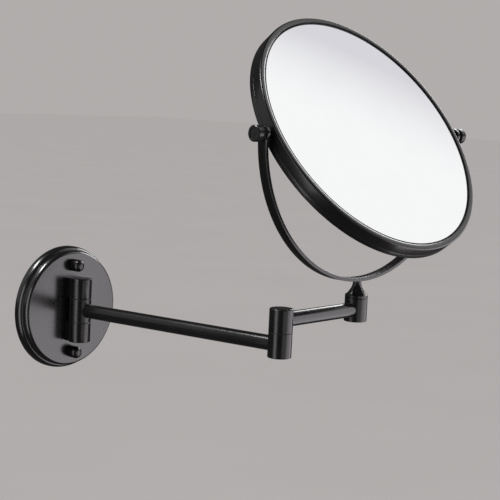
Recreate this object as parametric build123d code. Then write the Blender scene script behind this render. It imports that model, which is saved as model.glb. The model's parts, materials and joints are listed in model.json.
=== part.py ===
from build123d import *
import math
import os

# Extendable wall-mounted shaving mirror, in millimetres.
# Origin: centre of the wall plate, on the wall. -Y points out of the wall, +Z up.
# Each moving body is drawn in its own local frame, in which it reaches out along -Y,
# and is then placed at the angle in which the mirror is stored.

# Wall plate
PLATE_R = 48.5
PLATE_DEPTH = 11.6
FLANGE_DEPTH = 6.4
STEP_R = 45.8
FACE_R = 43.2
FLANGE_SHOULDER_R = 2.2
SHEET = 1.5

# Bracket behind the plate, and its fasteners
BRACKET_SIZE = (30.0, 84.0)
BRACKET_THICK = 2.0
BRACKET_CORNER_R = 8.0
WALL_HOLE_R = 2.5
WALL_HOLE_SPACING = 48.0
STUD_R = 2.0
STUD_COLLAR_R = 3.6
STUD_COLLAR_THICK = 1.2
STUD_Z = 34.5
STUD_LENGTH = 18.6
CAP_NUT_R = 4.75
CAP_NUT_LENGTH = 9.5
CAP_NUT_DOME = 3.8
CAP_NUT_BORE_END = 19.2

# Hinge barrels
BARREL_R = 8.6
BARREL_EDGE = 0.5
HINGE_OUT = 20.6
HINGE_HALF = 25.0
KNUCKLE_HALF = 9.0
HINGE_GAP = 0.4
FOOT_HALF_WIDTH = 6.5
SCREW_R = 1.6
SCREW_HEAD_R = 3.2
SCREW_HEAD_THICK = 2.2
SCREW_BITE = 3.0
SCREW_HOLE_DEPTH = 3.8

# Pins and what is stacked on them
PIN_R = 3.0
PIN_HEAD_R = 4.7
PIN_HEAD_THICK = 3.0
PIN_TOP = 21.0
HEX_R = 2.1
HEX_DEPTH = 1.8
CAVITY_R = 5.0
CAP_THICK = 1.5
WASHER_THICK = 0.3
WASHER_INSET = 0.4
WAVE_THICK = 0.9
NUT_R = 4.6
NUT_THICK = 3.6

# Clearances, on the radius
FIT = 0.02
RUNNING = 0.05

# How far a cut runs past the face that it opens
OVERCUT = 1.0

# Arms
ARM1_LENGTH = 187.2
ARM2_LENGTH = 86.1
ARM1_TURN = 6.8
ARM2_TURN = 88.9
TUBE_R = 5.5
TUBE_WALL = 1.2
SOCKET_FLOOR = 5.6
ELBOW_BOTTOM = -9.3
ELBOW_SPLIT = 8.5
ELBOW_TOP = 26.0
ELBOW_FLOOR = -3.1
ARM2_Z = 17.5
BOLT_TOP = 20.5

# End barrel, stem and yoke
END_BOTTOM = 8.6
END_TOP = 26.2
END_CEILING = 20.0
STEM_BASE = 26.5
STEM_SHOULDER = 28.8
STEM_NECK_R = 3.1
STEM_MIDDLE_R = 4.5
STEM_FLARE_R = 8.0
SPINDLE_BOTTOM = 13.2
PIVOT_Z = 148.5
YOKE_TURN = -4.3
YOKE_MID_R = 108.0
YOKE_THICK = 2.8
YOKE_WIDTH = 8.0
YOKE_EYE_R = 5.8
YOKE_SCREW_R = 1.5
YOKE_SCREW_HEAD_R = 2.9
YOKE_SCREW_DEPTH = 9.0
YOKE_SCREW_SPARE = 1.0
YOKE_SCREW_PROUD = 0.15
YOKE_HEX_R = 1.15
YOKE_HEX_DEPTH = 0.9

# Mirror head
MIRROR_TILT = 36.9
FRAME_R = 102.1
FRAME_HALF = 6.7
FRAME_WALL = 2.0
BEAD_R = 97.15
LEDGE_R = 94.5
LEDGE_LOW = 2.05
LEDGE_HIGH = 3.2
FRAME_SEAM = 2.0
FRAME_EDGE = 0.8
GLASS_R = 97.0
GLASS_THICK = 2.0
GLASS_RECESS = 0.9
GLASS_SAG = 4.0
GASKET_TOP = 3.5
SPACER_R = 98.4

# Pivots and knobs
PIVOT_R = 1.6
PIVOT_FLANGE_R = 1.95
PIVOT_FLANGE_X = 99.3
PIVOT_FLANGE_THICK = 0.7
PIVOT_END = 115.0
COLLAR_R = 3.0
KNOB_R = 5.8
KNOB_HUB_R = 3.6
KNOB_HUB_START = 110.2
KNOB_START = 112.2
KNOB_END = 117.5
KNOB_BORE_END = 115.6
KNOB_EDGE = 0.7
KNOB_RECESS_R = 4.0
KNOB_RECESS = 0.5
KNOB_NOTCH_R = 0.45
KNOB_NOTCHES = 24
KNOB_WASHER_R = 4.4
KNOB_WASHER_START = 109.5
KNOB_WASHER_THICK = 0.6

OUT_OF_WALL = Rot(90, 0, 0)
ALONG_X = Rot(0, 90, 0)
ALONG_MINUS_X = Rot(0, -90, 0)


def rod(radius, low, high):
    """A cylinder on Z between two heights."""
    base = (Align.CENTER, Align.CENTER, Align.MIN)
    return Pos(0, 0, low) * Cylinder(radius, high - low, align=base)


def ring(outer, inner, low, high):
    """A flat ring on Z between two heights."""
    return rod(outer, low, high) - rod(inner, low, high)


def turned(*outline):
    """A solid turned about Z from (radius, height) corners."""
    corners = [(radius, 0, height) for radius, height in outline]
    return revolve(make_face(Polyline(*corners, close=True)), Axis.Z)


def rim_edges(solid, height):
    """The round edges of a solid at one height."""
    return solid.edges().filter_by_position(Axis.Z, height, height).filter_by(GeomType.CIRCLE)


def softened(solid, height, size):
    """The solid with its round edges at a height chamfered."""
    return chamfer(rim_edges(solid, height), size)


def reach(length, turn):
    """Where an arm of this length ends, turned from straight out of the wall."""
    angle = math.radians(turn)
    return Vector(length * math.sin(angle), -length * math.cos(angle), 0)


HINGE_AT = Vector(0, -HINGE_OUT, 0)
ELBOW_AT = HINGE_AT + reach(ARM1_LENGTH, ARM1_TURN)
SWIVEL_AT = ELBOW_AT + reach(ARM2_LENGTH, ARM2_TURN)
PIVOT_AT = SWIVEL_AT + Vector(0, 0, PIVOT_Z)

WALL_PLACE = Pos(0, 0, 0)
ARM1_PLACE = Pos(*HINGE_AT) * Rot(0, 0, ARM1_TURN)
ARM2_PLACE = Pos(*ELBOW_AT) * Rot(0, 0, ARM2_TURN)
YOKE_PLACE = Pos(*SWIVEL_AT) * Rot(0, 0, YOKE_TURN)
HEAD_PLACE = Pos(*PIVOT_AT) * Rot(0, 0, YOKE_TURN) * Rot(-MIRROR_TILT, 0, 0)

KNUCKLE_START = KNUCKLE_HALF + HINGE_GAP
SCREW_Z = (KNUCKLE_START + HINGE_HALF) / 2
GLASS_FACE = FRAME_HALF - GLASS_RECESS
YOKE_OUTER_R = YOKE_MID_R + YOKE_THICK / 2
YOKE_INNER_R = YOKE_MID_R - YOKE_THICK / 2
STEM_TOP = PIVOT_Z - YOKE_OUTER_R
YOKE_HEAD_TAPER = YOKE_SCREW_HEAD_R - YOKE_SCREW_R


# ---- wall_base ----

def wall_bracket():
    """Steel bar on the wall, with wall-screw holes and stud holes."""
    outline = RectangleRounded(*BRACKET_SIZE, BRACKET_CORNER_R)
    bar = extrude(outline, BRACKET_THICK)
    for side in (-1, 1):
        bar -= Pos(0, side * WALL_HOLE_SPACING / 2, 0) * rod(WALL_HOLE_R, 0, BRACKET_THICK)
        bar -= Pos(0, side * STUD_Z, 0) * rod(STUD_R + FIT, 0, BRACKET_THICK)
    return OUT_OF_WALL * bar


def bracket_studs():
    """Two threaded studs with a collar on the bracket's front."""
    studs = []
    for side in (-1, 1):
        stud = rod(STUD_R, 0, STUD_LENGTH)
        stud += rod(STUD_COLLAR_R, BRACKET_THICK, BRACKET_THICK + STUD_COLLAR_THICK)
        studs.append(OUT_OF_WALL * Pos(0, side * STUD_Z, 0) * stud)
    return Compound(children=studs)


def plate_outline(inset):
    """Half section of the stepped cover, moved inwards by a wall thickness."""
    outer = PLATE_R - inset
    step = STEP_R - inset
    flange = FLANGE_DEPTH - inset
    top = PLATE_DEPTH - inset
    shoulder = STEP_R - FACE_R
    with BuildSketch(Plane.XZ) as section:
        with BuildLine():
            Polyline((0, 0), (outer, 0), (outer, flange - FLANGE_SHOULDER_R))
            JernArc((outer, flange - FLANGE_SHOULDER_R), (0, 1), FLANGE_SHOULDER_R, 90)
            Polyline((outer - FLANGE_SHOULDER_R, flange), (step, flange), (step, top - shoulder))
            JernArc((step, top - shoulder), (0, 1), shoulder, 90)
            Polyline((step - shoulder, top), (0, top), (0, 0))
        make_face()
    return section.sketch


def cover_plate():
    """Hollow stepped round cover, open towards the wall."""
    shell = revolve(plate_outline(0), Axis.Z) - revolve(plate_outline(SHEET), Axis.Z)
    for side in (-1, 1):
        shell -= Pos(0, side * STUD_Z, 0) * rod(STUD_R + RUNNING, 0, PLATE_DEPTH)
        shell -= Pos(0, side * SCREW_Z, 0) * rod(SCREW_R + RUNNING, 0, PLATE_DEPTH)
    return OUT_OF_WALL * shell


def cap_nuts():
    """Two domed nuts on the studs."""
    tip = PLATE_DEPTH + CAP_NUT_LENGTH
    nuts = []
    for side in (-1, 1):
        nut = rod(CAP_NUT_R, PLATE_DEPTH, tip)
        nut = fillet(rim_edges(nut, tip), CAP_NUT_DOME)
        nut -= rod(STUD_R + FIT, PLATE_DEPTH, CAP_NUT_BORE_END)
        nuts.append(OUT_OF_WALL * Pos(0, side * STUD_Z, 0) * nut)
    return Compound(children=nuts)


def hinge_knuckle(low, high):
    """A fixed hinge barrel, its foot seated flat on the cover."""
    barrel = rod(BARREL_R, low, high)
    foot_depth = HINGE_OUT - PLATE_DEPTH
    height = high - low
    foot = Pos(0, foot_depth / 2, (low + high) / 2) * Box(2 * FOOT_HALF_WIDTH, foot_depth, height)
    return barrel + foot


def knuckle_screw_hole(height):
    """The threaded hole for the screw that comes through the cover."""
    hole = rod(SCREW_R + FIT, 0, SCREW_HOLE_DEPTH)
    return Pos(0, HINGE_OUT - PLATE_DEPTH, height) * OUT_OF_WALL * hole


def upper_knuckle():
    """Fixed barrel above the arm; the pin ends in its blind hole."""
    knuckle = hinge_knuckle(KNUCKLE_START, HINGE_HALF)
    knuckle = softened(knuckle, HINGE_HALF, BARREL_EDGE)
    knuckle -= rod(PIN_R + FIT, KNUCKLE_START, PIN_TOP + RUNNING)
    return Pos(*HINGE_AT) * (knuckle - knuckle_screw_hole(SCREW_Z))


def lower_knuckle():
    """Fixed barrel below the arm, with a seat for the pin's head."""
    knuckle = hinge_knuckle(-HINGE_HALF, -KNUCKLE_START)
    knuckle -= rod(PIN_R + FIT, -HINGE_HALF, -KNUCKLE_START)
    knuckle -= rod(PIN_HEAD_R + FIT, -HINGE_HALF, -HINGE_HALF + PIN_HEAD_THICK)
    return Pos(*HINGE_AT) * (knuckle - knuckle_screw_hole(-SCREW_Z))


def knuckle_screws():
    """Two pan-head screws that hold the knuckles from inside the cover."""
    inside = PLATE_DEPTH - SHEET
    screws = []
    for side in (-1, 1):
        screw = rod(SCREW_HEAD_R, inside - SCREW_HEAD_THICK, inside)
        screw += rod(SCREW_R, inside, PLATE_DEPTH + SCREW_BITE)
        screws.append(OUT_OF_WALL * Pos(0, side * SCREW_Z, 0) * screw)
    return Compound(children=screws)


def headed_pin(head_low, top):
    """A shoulder screw with a hexagon recess in its head."""
    head_top = head_low + PIN_HEAD_THICK
    recess = Pos(0, 0, head_low) * extrude(RegularPolygon(HEX_R, 6), HEX_DEPTH)
    return rod(PIN_HEAD_R, head_low, head_top) + rod(PIN_R, head_top, top) - recess


def wall_hinge_pin():
    """The pin through the three barrels, entered from below."""
    return Pos(*HINGE_AT) * headed_pin(-HINGE_HALF, PIN_TOP)


def wall_hinge_washers():
    """Thin washers in the two gaps of the hinge."""
    spare = (HINGE_GAP - WASHER_THICK) / 2
    washers = []
    for low in (KNUCKLE_HALF + spare, -KNUCKLE_HALF - spare - WASHER_THICK):
        washer = ring(BARREL_R - WASHER_INSET, PIN_R + RUNNING, low, low + WASHER_THICK)
        washers.append(Pos(*HINGE_AT) * washer)
    return Compound(children=washers)


# ---- first_arm ----

def socket(distance, depth_sign, height):
    """The round socket for a tube in a barrel, along the arm."""
    hole = rod(TUBE_R + FIT, SOCKET_FLOOR, BARREL_R + OVERCUT)
    turn = OUT_OF_WALL if depth_sign > 0 else Rot(-90, 0, 0)
    return Pos(0, -distance, height) * turn * hole


def arm_tube(length, height):
    """A round tube from barrel to barrel."""
    start = SOCKET_FLOOR + FIT
    tube = ring(TUBE_R, TUBE_R - TUBE_WALL, start, length - start)
    return Pos(0, 0, height) * OUT_OF_WALL * tube


def arm1_knuckle():
    """Moving barrel of the wall hinge."""
    barrel = ring(BARREL_R, PIN_R + RUNNING, -KNUCKLE_HALF, KNUCKLE_HALF)
    return barrel - socket(0, 1, 0)


def arm1_tube():
    """First arm."""
    return arm_tube(ARM1_LENGTH, 0)


def elbow_lower_barrel():
    """Lower half of the elbow, with a cavity for the bolt's head."""
    barrel = rod(BARREL_R, ELBOW_BOTTOM, ELBOW_SPLIT)
    barrel = softened(barrel, ELBOW_BOTTOM, BARREL_EDGE)
    barrel -= rod(PIN_R + RUNNING, ELBOW_FLOOR, ELBOW_SPLIT)
    barrel -= rod(CAVITY_R, ELBOW_BOTTOM, ELBOW_FLOOR)
    return Pos(0, -ARM1_LENGTH, 0) * barrel - socket(ARM1_LENGTH, -1, 0)


def elbow_plug():
    """Plug under the elbow."""
    plug = rod(CAVITY_R - FIT, ELBOW_BOTTOM + WASHER_THICK, ELBOW_BOTTOM + CAP_THICK)
    return Pos(0, -ARM1_LENGTH, 0) * plug


# ---- second_arm ----

def elbow_upper_barrel():
    """Upper half of the elbow; the bolt is threaded into it."""
    low = ELBOW_SPLIT + HINGE_GAP
    barrel = rod(BARREL_R, low, ELBOW_TOP)
    barrel = softened(barrel, ELBOW_TOP, BARREL_EDGE)
    barrel -= rod(PIN_R + FIT, low, BOLT_TOP + RUNNING)
    return barrel - socket(0, 1, ARM2_Z)


def elbow_bolt():
    """Shoulder screw up through the lower half into the upper half."""
    return headed_pin(ELBOW_FLOOR - WAVE_THICK - 2 * RUNNING - PIN_HEAD_THICK, BOLT_TOP)


def elbow_wave_washer():
    """Spring washer between the bolt's head and the lower half."""
    high = ELBOW_FLOOR - RUNNING
    return ring(PIN_HEAD_R, PIN_R + RUNNING, high - WAVE_THICK, high)


def elbow_washer():
    """Thin washer in the elbow's split."""
    low = ELBOW_SPLIT + (HINGE_GAP - WASHER_THICK) / 2
    return ring(BARREL_R - WASHER_INSET, PIN_R + RUNNING, low, low + WASHER_THICK)


def arm2_tube():
    """Second arm."""
    return arm_tube(ARM2_LENGTH, ARM2_Z)


def end_barrel():
    """Barrel at the end of the second arm, with a cavity under its top."""
    barrel = rod(BARREL_R, END_BOTTOM, END_TOP)
    barrel = softened(barrel, END_BOTTOM, BARREL_EDGE)
    barrel -= rod(PIN_R + RUNNING, END_CEILING, END_TOP)
    barrel -= rod(CAVITY_R, END_BOTTOM, END_CEILING)
    return Pos(0, -ARM2_LENGTH, 0) * barrel - socket(ARM2_LENGTH, -1, ARM2_Z)


def end_barrel_plug():
    """Plug under the end barrel."""
    plug = rod(CAVITY_R - FIT, END_BOTTOM + WASHER_THICK, END_BOTTOM + CAP_THICK)
    return Pos(0, -ARM2_LENGTH, 0) * plug


# ---- yoke_swivel ----

def swivel_stem():
    """Trumpet-shaped stem with the spindle that turns in the end barrel."""
    flare_start = STEM_SHOULDER + BARREL_EDGE
    with BuildSketch(Plane.XZ) as section:
        with BuildLine():
            Polyline(
                (0, SPINDLE_BOTTOM),
                (PIN_R, SPINDLE_BOTTOM),
                (PIN_R, STEM_BASE),
                (BARREL_R, STEM_BASE),
                (BARREL_R, STEM_SHOULDER),
                (STEM_FLARE_R, flare_start),
            )
            ThreePointArc(
                (STEM_FLARE_R, flare_start),
                (STEM_MIDDLE_R, (flare_start + STEM_TOP) / 2),
                (STEM_NECK_R, STEM_TOP),
            )
            Polyline((STEM_NECK_R, STEM_TOP), (0, STEM_TOP), (0, SPINDLE_BOTTOM))
        make_face()
    stem = revolve(section.sketch, Axis.Z)
    return stem - rod(YOKE_SCREW_R + FIT, STEM_TOP - YOKE_SCREW_DEPTH, STEM_TOP)


def swivel_wave_washer():
    """Spring washer under the end barrel's top."""
    high = END_CEILING - RUNNING
    return ring(PIN_HEAD_R, PIN_R + RUNNING, high - WAVE_THICK, high)


def swivel_washer():
    """Flat washer above the nut."""
    high = END_CEILING - WAVE_THICK - 2 * RUNNING
    return ring(PIN_HEAD_R, PIN_R + RUNNING, high - 2 * WASHER_THICK, high)


def swivel_nut():
    """Hexagon nut on the spindle's end."""
    high = END_CEILING - WAVE_THICK - 2 * WASHER_THICK - 3 * RUNNING
    nut = extrude(RegularPolygon(NUT_R, 6), NUT_THICK)
    return Pos(0, 0, high - NUT_THICK) * nut - rod(PIN_R + FIT, 0, high)


def yoke():
    """Flat strip bent to a half circle, with a wider round eye at each end."""
    hoop = ring(YOKE_OUTER_R, YOKE_INNER_R, -YOKE_WIDTH / 2, YOKE_WIDTH / 2)
    lower_half = Pos(0, 0, -YOKE_OUTER_R) * Box(4 * YOKE_OUTER_R, YOKE_WIDTH, 2 * YOKE_OUTER_R)
    strip = (Rot(90, 0, 0) * hoop) & lower_half
    for side in (-1, 1):
        start = side * YOKE_MID_R - YOKE_THICK / 2
        end = start + YOKE_THICK
        strip += ALONG_X * rod(YOKE_EYE_R, start, end)
        strip -= ALONG_X * rod(PIVOT_R + RUNNING, start - OVERCUT, end + OVERCUT)
    seat = -YOKE_INNER_R
    screw_hole = turned(
        (0, -YOKE_OUTER_R - OVERCUT),
        (YOKE_SCREW_R + RUNNING, -YOKE_OUTER_R - OVERCUT),
        (YOKE_SCREW_R + RUNNING, seat - YOKE_HEAD_TAPER),
        (YOKE_SCREW_HEAD_R + RUNNING, seat),
        (YOKE_SCREW_HEAD_R + RUNNING, seat + OVERCUT),
        (0, seat + OVERCUT),
    )
    return Pos(0, 0, PIVOT_Z) * (strip - screw_hole)


def yoke_screw():
    """Countersunk screw from inside the yoke down into the stem."""
    seat = PIVOT_Z - YOKE_INNER_R
    top = seat + YOKE_SCREW_PROUD
    screw = turned(
        (0, STEM_TOP - YOKE_SCREW_DEPTH + YOKE_SCREW_SPARE),
        (YOKE_SCREW_R, STEM_TOP - YOKE_SCREW_DEPTH + YOKE_SCREW_SPARE),
        (YOKE_SCREW_R, seat - YOKE_HEAD_TAPER),
        (YOKE_SCREW_HEAD_R, seat),
        (YOKE_SCREW_HEAD_R, top),
        (0, top),
    )
    key = extrude(RegularPolygon(YOKE_HEX_R, 6), YOKE_HEX_DEPTH)
    return screw - Pos(0, 0, top - YOKE_HEX_DEPTH) * key


# ---- mirror_head ----

def rim_shell(seam):
    """One shell of the rim: wall from the seam, bead round the glass, ledge behind it."""
    bead = turned(
        (BEAD_R, LEDGE_LOW),
        (FRAME_R, LEDGE_LOW),
        (FRAME_R, FRAME_HALF - FRAME_EDGE),
        (FRAME_R - FRAME_EDGE, FRAME_HALF),
        (BEAD_R, FRAME_HALF),
    )
    ledge = ring(BEAD_R, LEDGE_R, LEDGE_LOW, LEDGE_HIGH)
    if seam < LEDGE_LOW:
        bead += ring(FRAME_R, FRAME_R - FRAME_WALL, seam, LEDGE_LOW)
    return bead + ledge


def frame_ring():
    """Front shell of the rim, with the pivot holes."""
    shell = OUT_OF_WALL * rim_shell(-FRAME_SEAM)
    hole = rod(PIVOT_R + FIT, FRAME_R - 2 * FRAME_WALL, FRAME_R + FRAME_WALL)
    return shell - ALONG_X * hole - ALONG_MINUS_X * hole


def rear_ring():
    """Rear shell of the rim."""
    return Rot(-90, 0, 0) * rim_shell(LEDGE_LOW)


def plain_glass():
    """Flat mirror glass on the front."""
    return OUT_OF_WALL * rod(GLASS_R, GLASS_FACE - GLASS_THICK, GLASS_FACE)


def magnifying_glass():
    """Dished mirror glass on the back, of even thickness."""
    curve_r = (GLASS_R ** 2 + GLASS_SAG ** 2) / (2 * GLASS_SAG)
    disc = rod(GLASS_R, GLASS_FACE - GLASS_THICK - GLASS_SAG, GLASS_FACE)
    centre_z = GLASS_FACE - GLASS_SAG + curve_r
    dish = disc - Pos(0, 0, centre_z) * Sphere(curve_r)
    dish &= Pos(0, 0, centre_z) * Sphere(curve_r + GLASS_THICK)
    return Rot(-90, 0, 0) * dish


def gasket():
    """Thin black adhesive ring between a ledge and its glass."""
    return ring(GLASS_R, LEDGE_R + RUNNING, LEDGE_HIGH + FIT, GASKET_TOP)


def front_gasket():
    """Gasket of the plain glass."""
    return OUT_OF_WALL * gasket()


def rear_gasket():
    """Gasket of the magnifying glass."""
    return Rot(-90, 0, 0) * gasket()


def glass_spacer():
    """Ring that keeps the ledges of the two shells apart."""
    half = LEDGE_LOW - RUNNING
    return Rot(-90, 0, 0) * ring(SPACER_R, LEDGE_R, -half, half)


def pivot_bosses():
    """Two flanged pivot pins through the rim's wall."""
    pin = rod(PIVOT_R, PIVOT_FLANGE_X, PIVOT_END)
    pin += rod(PIVOT_FLANGE_R, PIVOT_FLANGE_X, PIVOT_FLANGE_X + PIVOT_FLANGE_THICK)
    return Compound(children=[ALONG_X * pin, ALONG_MINUS_X * pin])


def pivot_collars():
    """Two collars between the rim and the yoke."""
    collar = ring(COLLAR_R, PIVOT_R + FIT, FRAME_R + RUNNING, YOKE_INNER_R - 2 * RUNNING)
    return Compound(children=[ALONG_X * collar, ALONG_MINUS_X * collar])


# ---- knobs ----

def knob():
    """A short knurled knob with a narrower hub, a recessed face and a blind bore."""
    body = rod(KNOB_R, KNOB_START, KNOB_END)
    rims = rim_edges(body, KNOB_END) + rim_edges(body, KNOB_START)
    body = chamfer(rims, KNOB_EDGE)
    body += rod(KNOB_HUB_R, KNOB_HUB_START, KNOB_START + KNOB_EDGE)
    body -= rod(KNOB_RECESS_R, KNOB_END - KNOB_RECESS, KNOB_END)
    body -= rod(PIVOT_R + RUNNING, KNOB_HUB_START, KNOB_BORE_END)
    notch = Pos(KNOB_R, 0, 0) * rod(KNOB_NOTCH_R, KNOB_START, KNOB_END)
    for index in range(KNOB_NOTCHES):
        body -= Rot(0, 0, index * 360 / KNOB_NOTCHES) * notch
    return body


def knob_washer():
    """Flat washer between the yoke and a knob."""
    end = KNOB_WASHER_START + KNOB_WASHER_THICK
    return ring(KNOB_WASHER_R, PIVOT_R + RUNNING, KNOB_WASHER_START, end)


def left_knob():
    """Knob on the left pivot."""
    return ALONG_MINUS_X * knob()


def right_knob():
    """Knob on the right pivot."""
    return ALONG_X * knob()


def left_knob_washer():
    """Washer under the left knob."""
    return ALONG_MINUS_X * knob_washer()


def right_knob_washer():
    """Washer under the right knob."""
    return ALONG_X * knob_washer()


BODIES = [
    (WALL_PLACE, [
        wall_bracket, bracket_studs, cover_plate, cap_nuts, upper_knuckle, lower_knuckle,
        knuckle_screws, wall_hinge_pin, wall_hinge_washers,
    ]),
    (ARM1_PLACE, [arm1_knuckle, arm1_tube, elbow_lower_barrel, elbow_plug]),
    (ARM2_PLACE, [
        elbow_upper_barrel, elbow_bolt, elbow_wave_washer, elbow_washer, arm2_tube,
        end_barrel, end_barrel_plug,
    ]),
    (YOKE_PLACE, [
        swivel_stem, swivel_wave_washer, swivel_washer, swivel_nut, yoke, yoke_screw,
    ]),
    (HEAD_PLACE, [
        frame_ring, rear_ring, plain_glass, magnifying_glass, front_gasket, rear_gasket,
        glass_spacer, pivot_bosses, pivot_collars, left_knob, right_knob,
        left_knob_washer, right_knob_washer,
    ]),
]

os.makedirs("parts", exist_ok=True)
for place, pieces in BODIES:
    for piece in pieces:
        solid = place * piece()
        export_step(solid, f"parts/{piece.__name__}.step")
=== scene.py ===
import json
import logging
import math
from dataclasses import dataclass
from enum import Enum
from typing import Callable, Iterable, Optional, Sequence

import bmesh
import bpy
from bmesh.types import BMEdge, BMFace
from bpy.types import Material, Object
from mathutils import Matrix, Vector


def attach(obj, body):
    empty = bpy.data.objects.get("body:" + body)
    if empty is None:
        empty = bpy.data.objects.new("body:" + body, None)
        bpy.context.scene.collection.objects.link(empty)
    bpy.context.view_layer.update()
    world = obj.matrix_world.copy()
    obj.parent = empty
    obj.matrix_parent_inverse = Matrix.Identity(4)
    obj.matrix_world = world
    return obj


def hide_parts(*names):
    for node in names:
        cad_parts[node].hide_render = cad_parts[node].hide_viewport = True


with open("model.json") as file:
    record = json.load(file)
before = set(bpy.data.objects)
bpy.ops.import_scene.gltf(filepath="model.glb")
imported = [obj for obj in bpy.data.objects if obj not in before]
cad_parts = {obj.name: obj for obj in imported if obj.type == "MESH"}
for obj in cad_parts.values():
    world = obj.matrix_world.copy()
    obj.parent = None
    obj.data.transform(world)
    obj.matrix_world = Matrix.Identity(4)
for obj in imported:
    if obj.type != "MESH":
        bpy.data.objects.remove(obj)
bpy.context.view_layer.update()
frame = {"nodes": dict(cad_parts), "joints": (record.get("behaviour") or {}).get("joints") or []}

LOG = logging.getLogger("shaving_mirror")
MM = 0.001
ROUND = 128
SMALL_ROUND = 64
WIDE_ROUND = 192
AXIS_HOLE = 0.25 * MM
ARC_STEP = math.radians(12)
SMOOTH_BELOW = math.radians(35)
SHARP_ABOVE = math.radians(50)
BEVEL_STEPS = 3
SAME_PLACE = 1e-6

Point = tuple[float, float]
Place = tuple[float, float, float]
Colour = tuple[float, float, float]


class Body(Enum):
    """The moving bodies of the frame."""

    WALL = "wall_base"
    FIRST_ARM = "first_arm"
    SECOND_ARM = "second_arm"
    YOKE = "yoke_swivel"
    HEAD = "mirror_head"
    LEFT_KNOB = "left_knob"
    RIGHT_KNOB = "right_knob"


# ---- shader maths


class Wire:
    """A shader socket or number that takes part in Python arithmetic."""

    def __init__(self, graph: "Graph", value: object) -> None:
        """Wrap a socket of a graph, or a plain number."""
        self.graph = graph
        self.value = value

    def _math(self, operation: str, first: object, second: object = 0.0) -> "Wire":
        """The result of a Math node over two values or links."""
        return self.graph.add("ShaderNodeMath", {"operation": operation}, {0: first, 1: second})

    def __add__(self, other: object) -> "Wire":
        """Sum."""
        return self._math("ADD", self, other)

    __radd__ = __add__

    def __mul__(self, other: object) -> "Wire":
        """Product."""
        return self._math("MULTIPLY", self, other)

    def __sub__(self, other: object) -> "Wire":
        """Difference."""
        return self._math("SUBTRACT", self, other)


class Graph:
    """The node tree of one material or world."""

    def __init__(self, owner: bpy.types.ID, output: str = "ShaderNodeOutputMaterial") -> None:
        """Empty the tree and add its output node.

        Args:
            owner: the new material or world.
            output: the output node's type.
        """
        owner.use_nodes = True
        self.owner = owner
        self.tree = owner.node_tree
        self.tree.nodes.clear()
        self.output = self.tree.nodes.new(output)

    @classmethod
    def of_material(cls, name: str) -> "Graph":
        """Start a new material."""
        return cls(bpy.data.materials.new(name))

    def add(self, kind: str, settings: dict, sockets: dict, result: object = 0) -> Wire:
        """Add a node.

        Args:
            kind: the node's type.
            settings: its properties, set before its sockets.
            sockets: values or wires, by socket name or place.
            result: the output socket's name or place.

        Returns:
            The chosen output.
        """
        node = self.tree.nodes.new(kind)
        for key, value in settings.items():
            setattr(node, key, value)
        for key, value in sockets.items():
            if isinstance(value, Wire):
                self.tree.links.new(value.value, node.inputs[key])
            else:
                node.inputs[key].default_value = value
        return Wire(self, node.outputs[result])

    def place(self) -> Wire:
        """The object coordinates."""
        return self.add("ShaderNodeTexCoord", {}, {}, "Object")

    def noise(self, grain: float, detail: float = 2.0, roughness: float = 0.5) -> Wire:
        """Noise of about 0.5 on average, its blotches a grain wide in metres."""
        sockets = {"Vector": self.place(), "Scale": 1.0 / grain, "Detail": detail,
                   "Roughness": roughness}
        return self.add("ShaderNodeTexNoise", {"noise_dimensions": "3D"}, sockets)

    def ramp(self, value: Wire, low: float, high: float) -> Wire:
        """Stretch a value so that low gives 0 and high gives 1."""
        sockets = {"Value": value, "From Min": low, "From Max": high}
        return self.add("ShaderNodeMapRange", {"clamp": True}, sockets)

    def mix(self, factor: Wire, first: Colour, second: Colour) -> Wire:
        """Mix two colours: a factor of 0 gives the first, and 1 the second."""
        sockets = {0: factor, 6: (*first, 1.0), 7: (*second, 1.0)}
        return self.add("ShaderNodeMix", {"data_type": "RGBA"}, sockets, 2)

    def bump(self, height: Wire, depth: float, strength: float) -> Wire:
        """The bent normal of a height of 0 to 1, which stands out by a depth in metres."""
        sockets = {"Height": height, "Distance": depth, "Strength": strength}
        return self.add("ShaderNodeBump", {}, sockets)

    def show(self, surface: Wire) -> None:
        """Join a shader to the output."""
        self.tree.links.new(surface.value, self.output.inputs["Surface"])

    def finish(self, sockets: dict) -> Material:
        """Add the principled shader, its sockets by name, and give the material back."""
        self.show(self.add("ShaderNodeBsdfPrincipled", {}, sockets))
        return self.owner


@dataclass(frozen=True)
class Paint:
    """Baked satin paint over metal: fine orange peel, soft sheen, thinner at edges."""

    name: str
    colour: Colour = (0.0035, 0.0032, 0.0035)
    lighter: Colour = (0.008, 0.0074, 0.0078)
    gloss: float = 0.25
    peel: float = 0.0006
    peel_depth: float = 0.000006
    coat: float = 0.3
    coat_roughness: float = 0.12

    def make(self) -> Material:
        """Build the material."""
        graph = Graph.of_material(self.name)
        cloud = graph.noise(0.035, 3.0, 0.55)
        speck = graph.noise(0.0011, 2.0, 0.6)
        handled = graph.ramp(cloud, 0.35, 0.7)
        dust = graph.ramp(speck, 0.60, 0.74)
        edge = graph.ramp(graph.add("ShaderNodeNewGeometry", {}, {}, "Pointiness"), 0.53, 0.60)
        shade = graph.ramp(handled * 0.5 + dust * 0.25 + edge * 0.6, 0.0, 1.0)
        colour = graph.mix(shade, self.colour, self.lighter)
        rough = self.gloss + handled * 0.05 + dust * 0.06 - edge * 0.06
        normal = graph.bump(graph.noise(self.peel), self.peel_depth, 0.5)
        return graph.finish({
            "Base Color": colour, "Roughness": rough, "Normal": normal,
            "Coat Weight": self.coat, "Coat Roughness": self.coat_roughness,
        })


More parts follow.
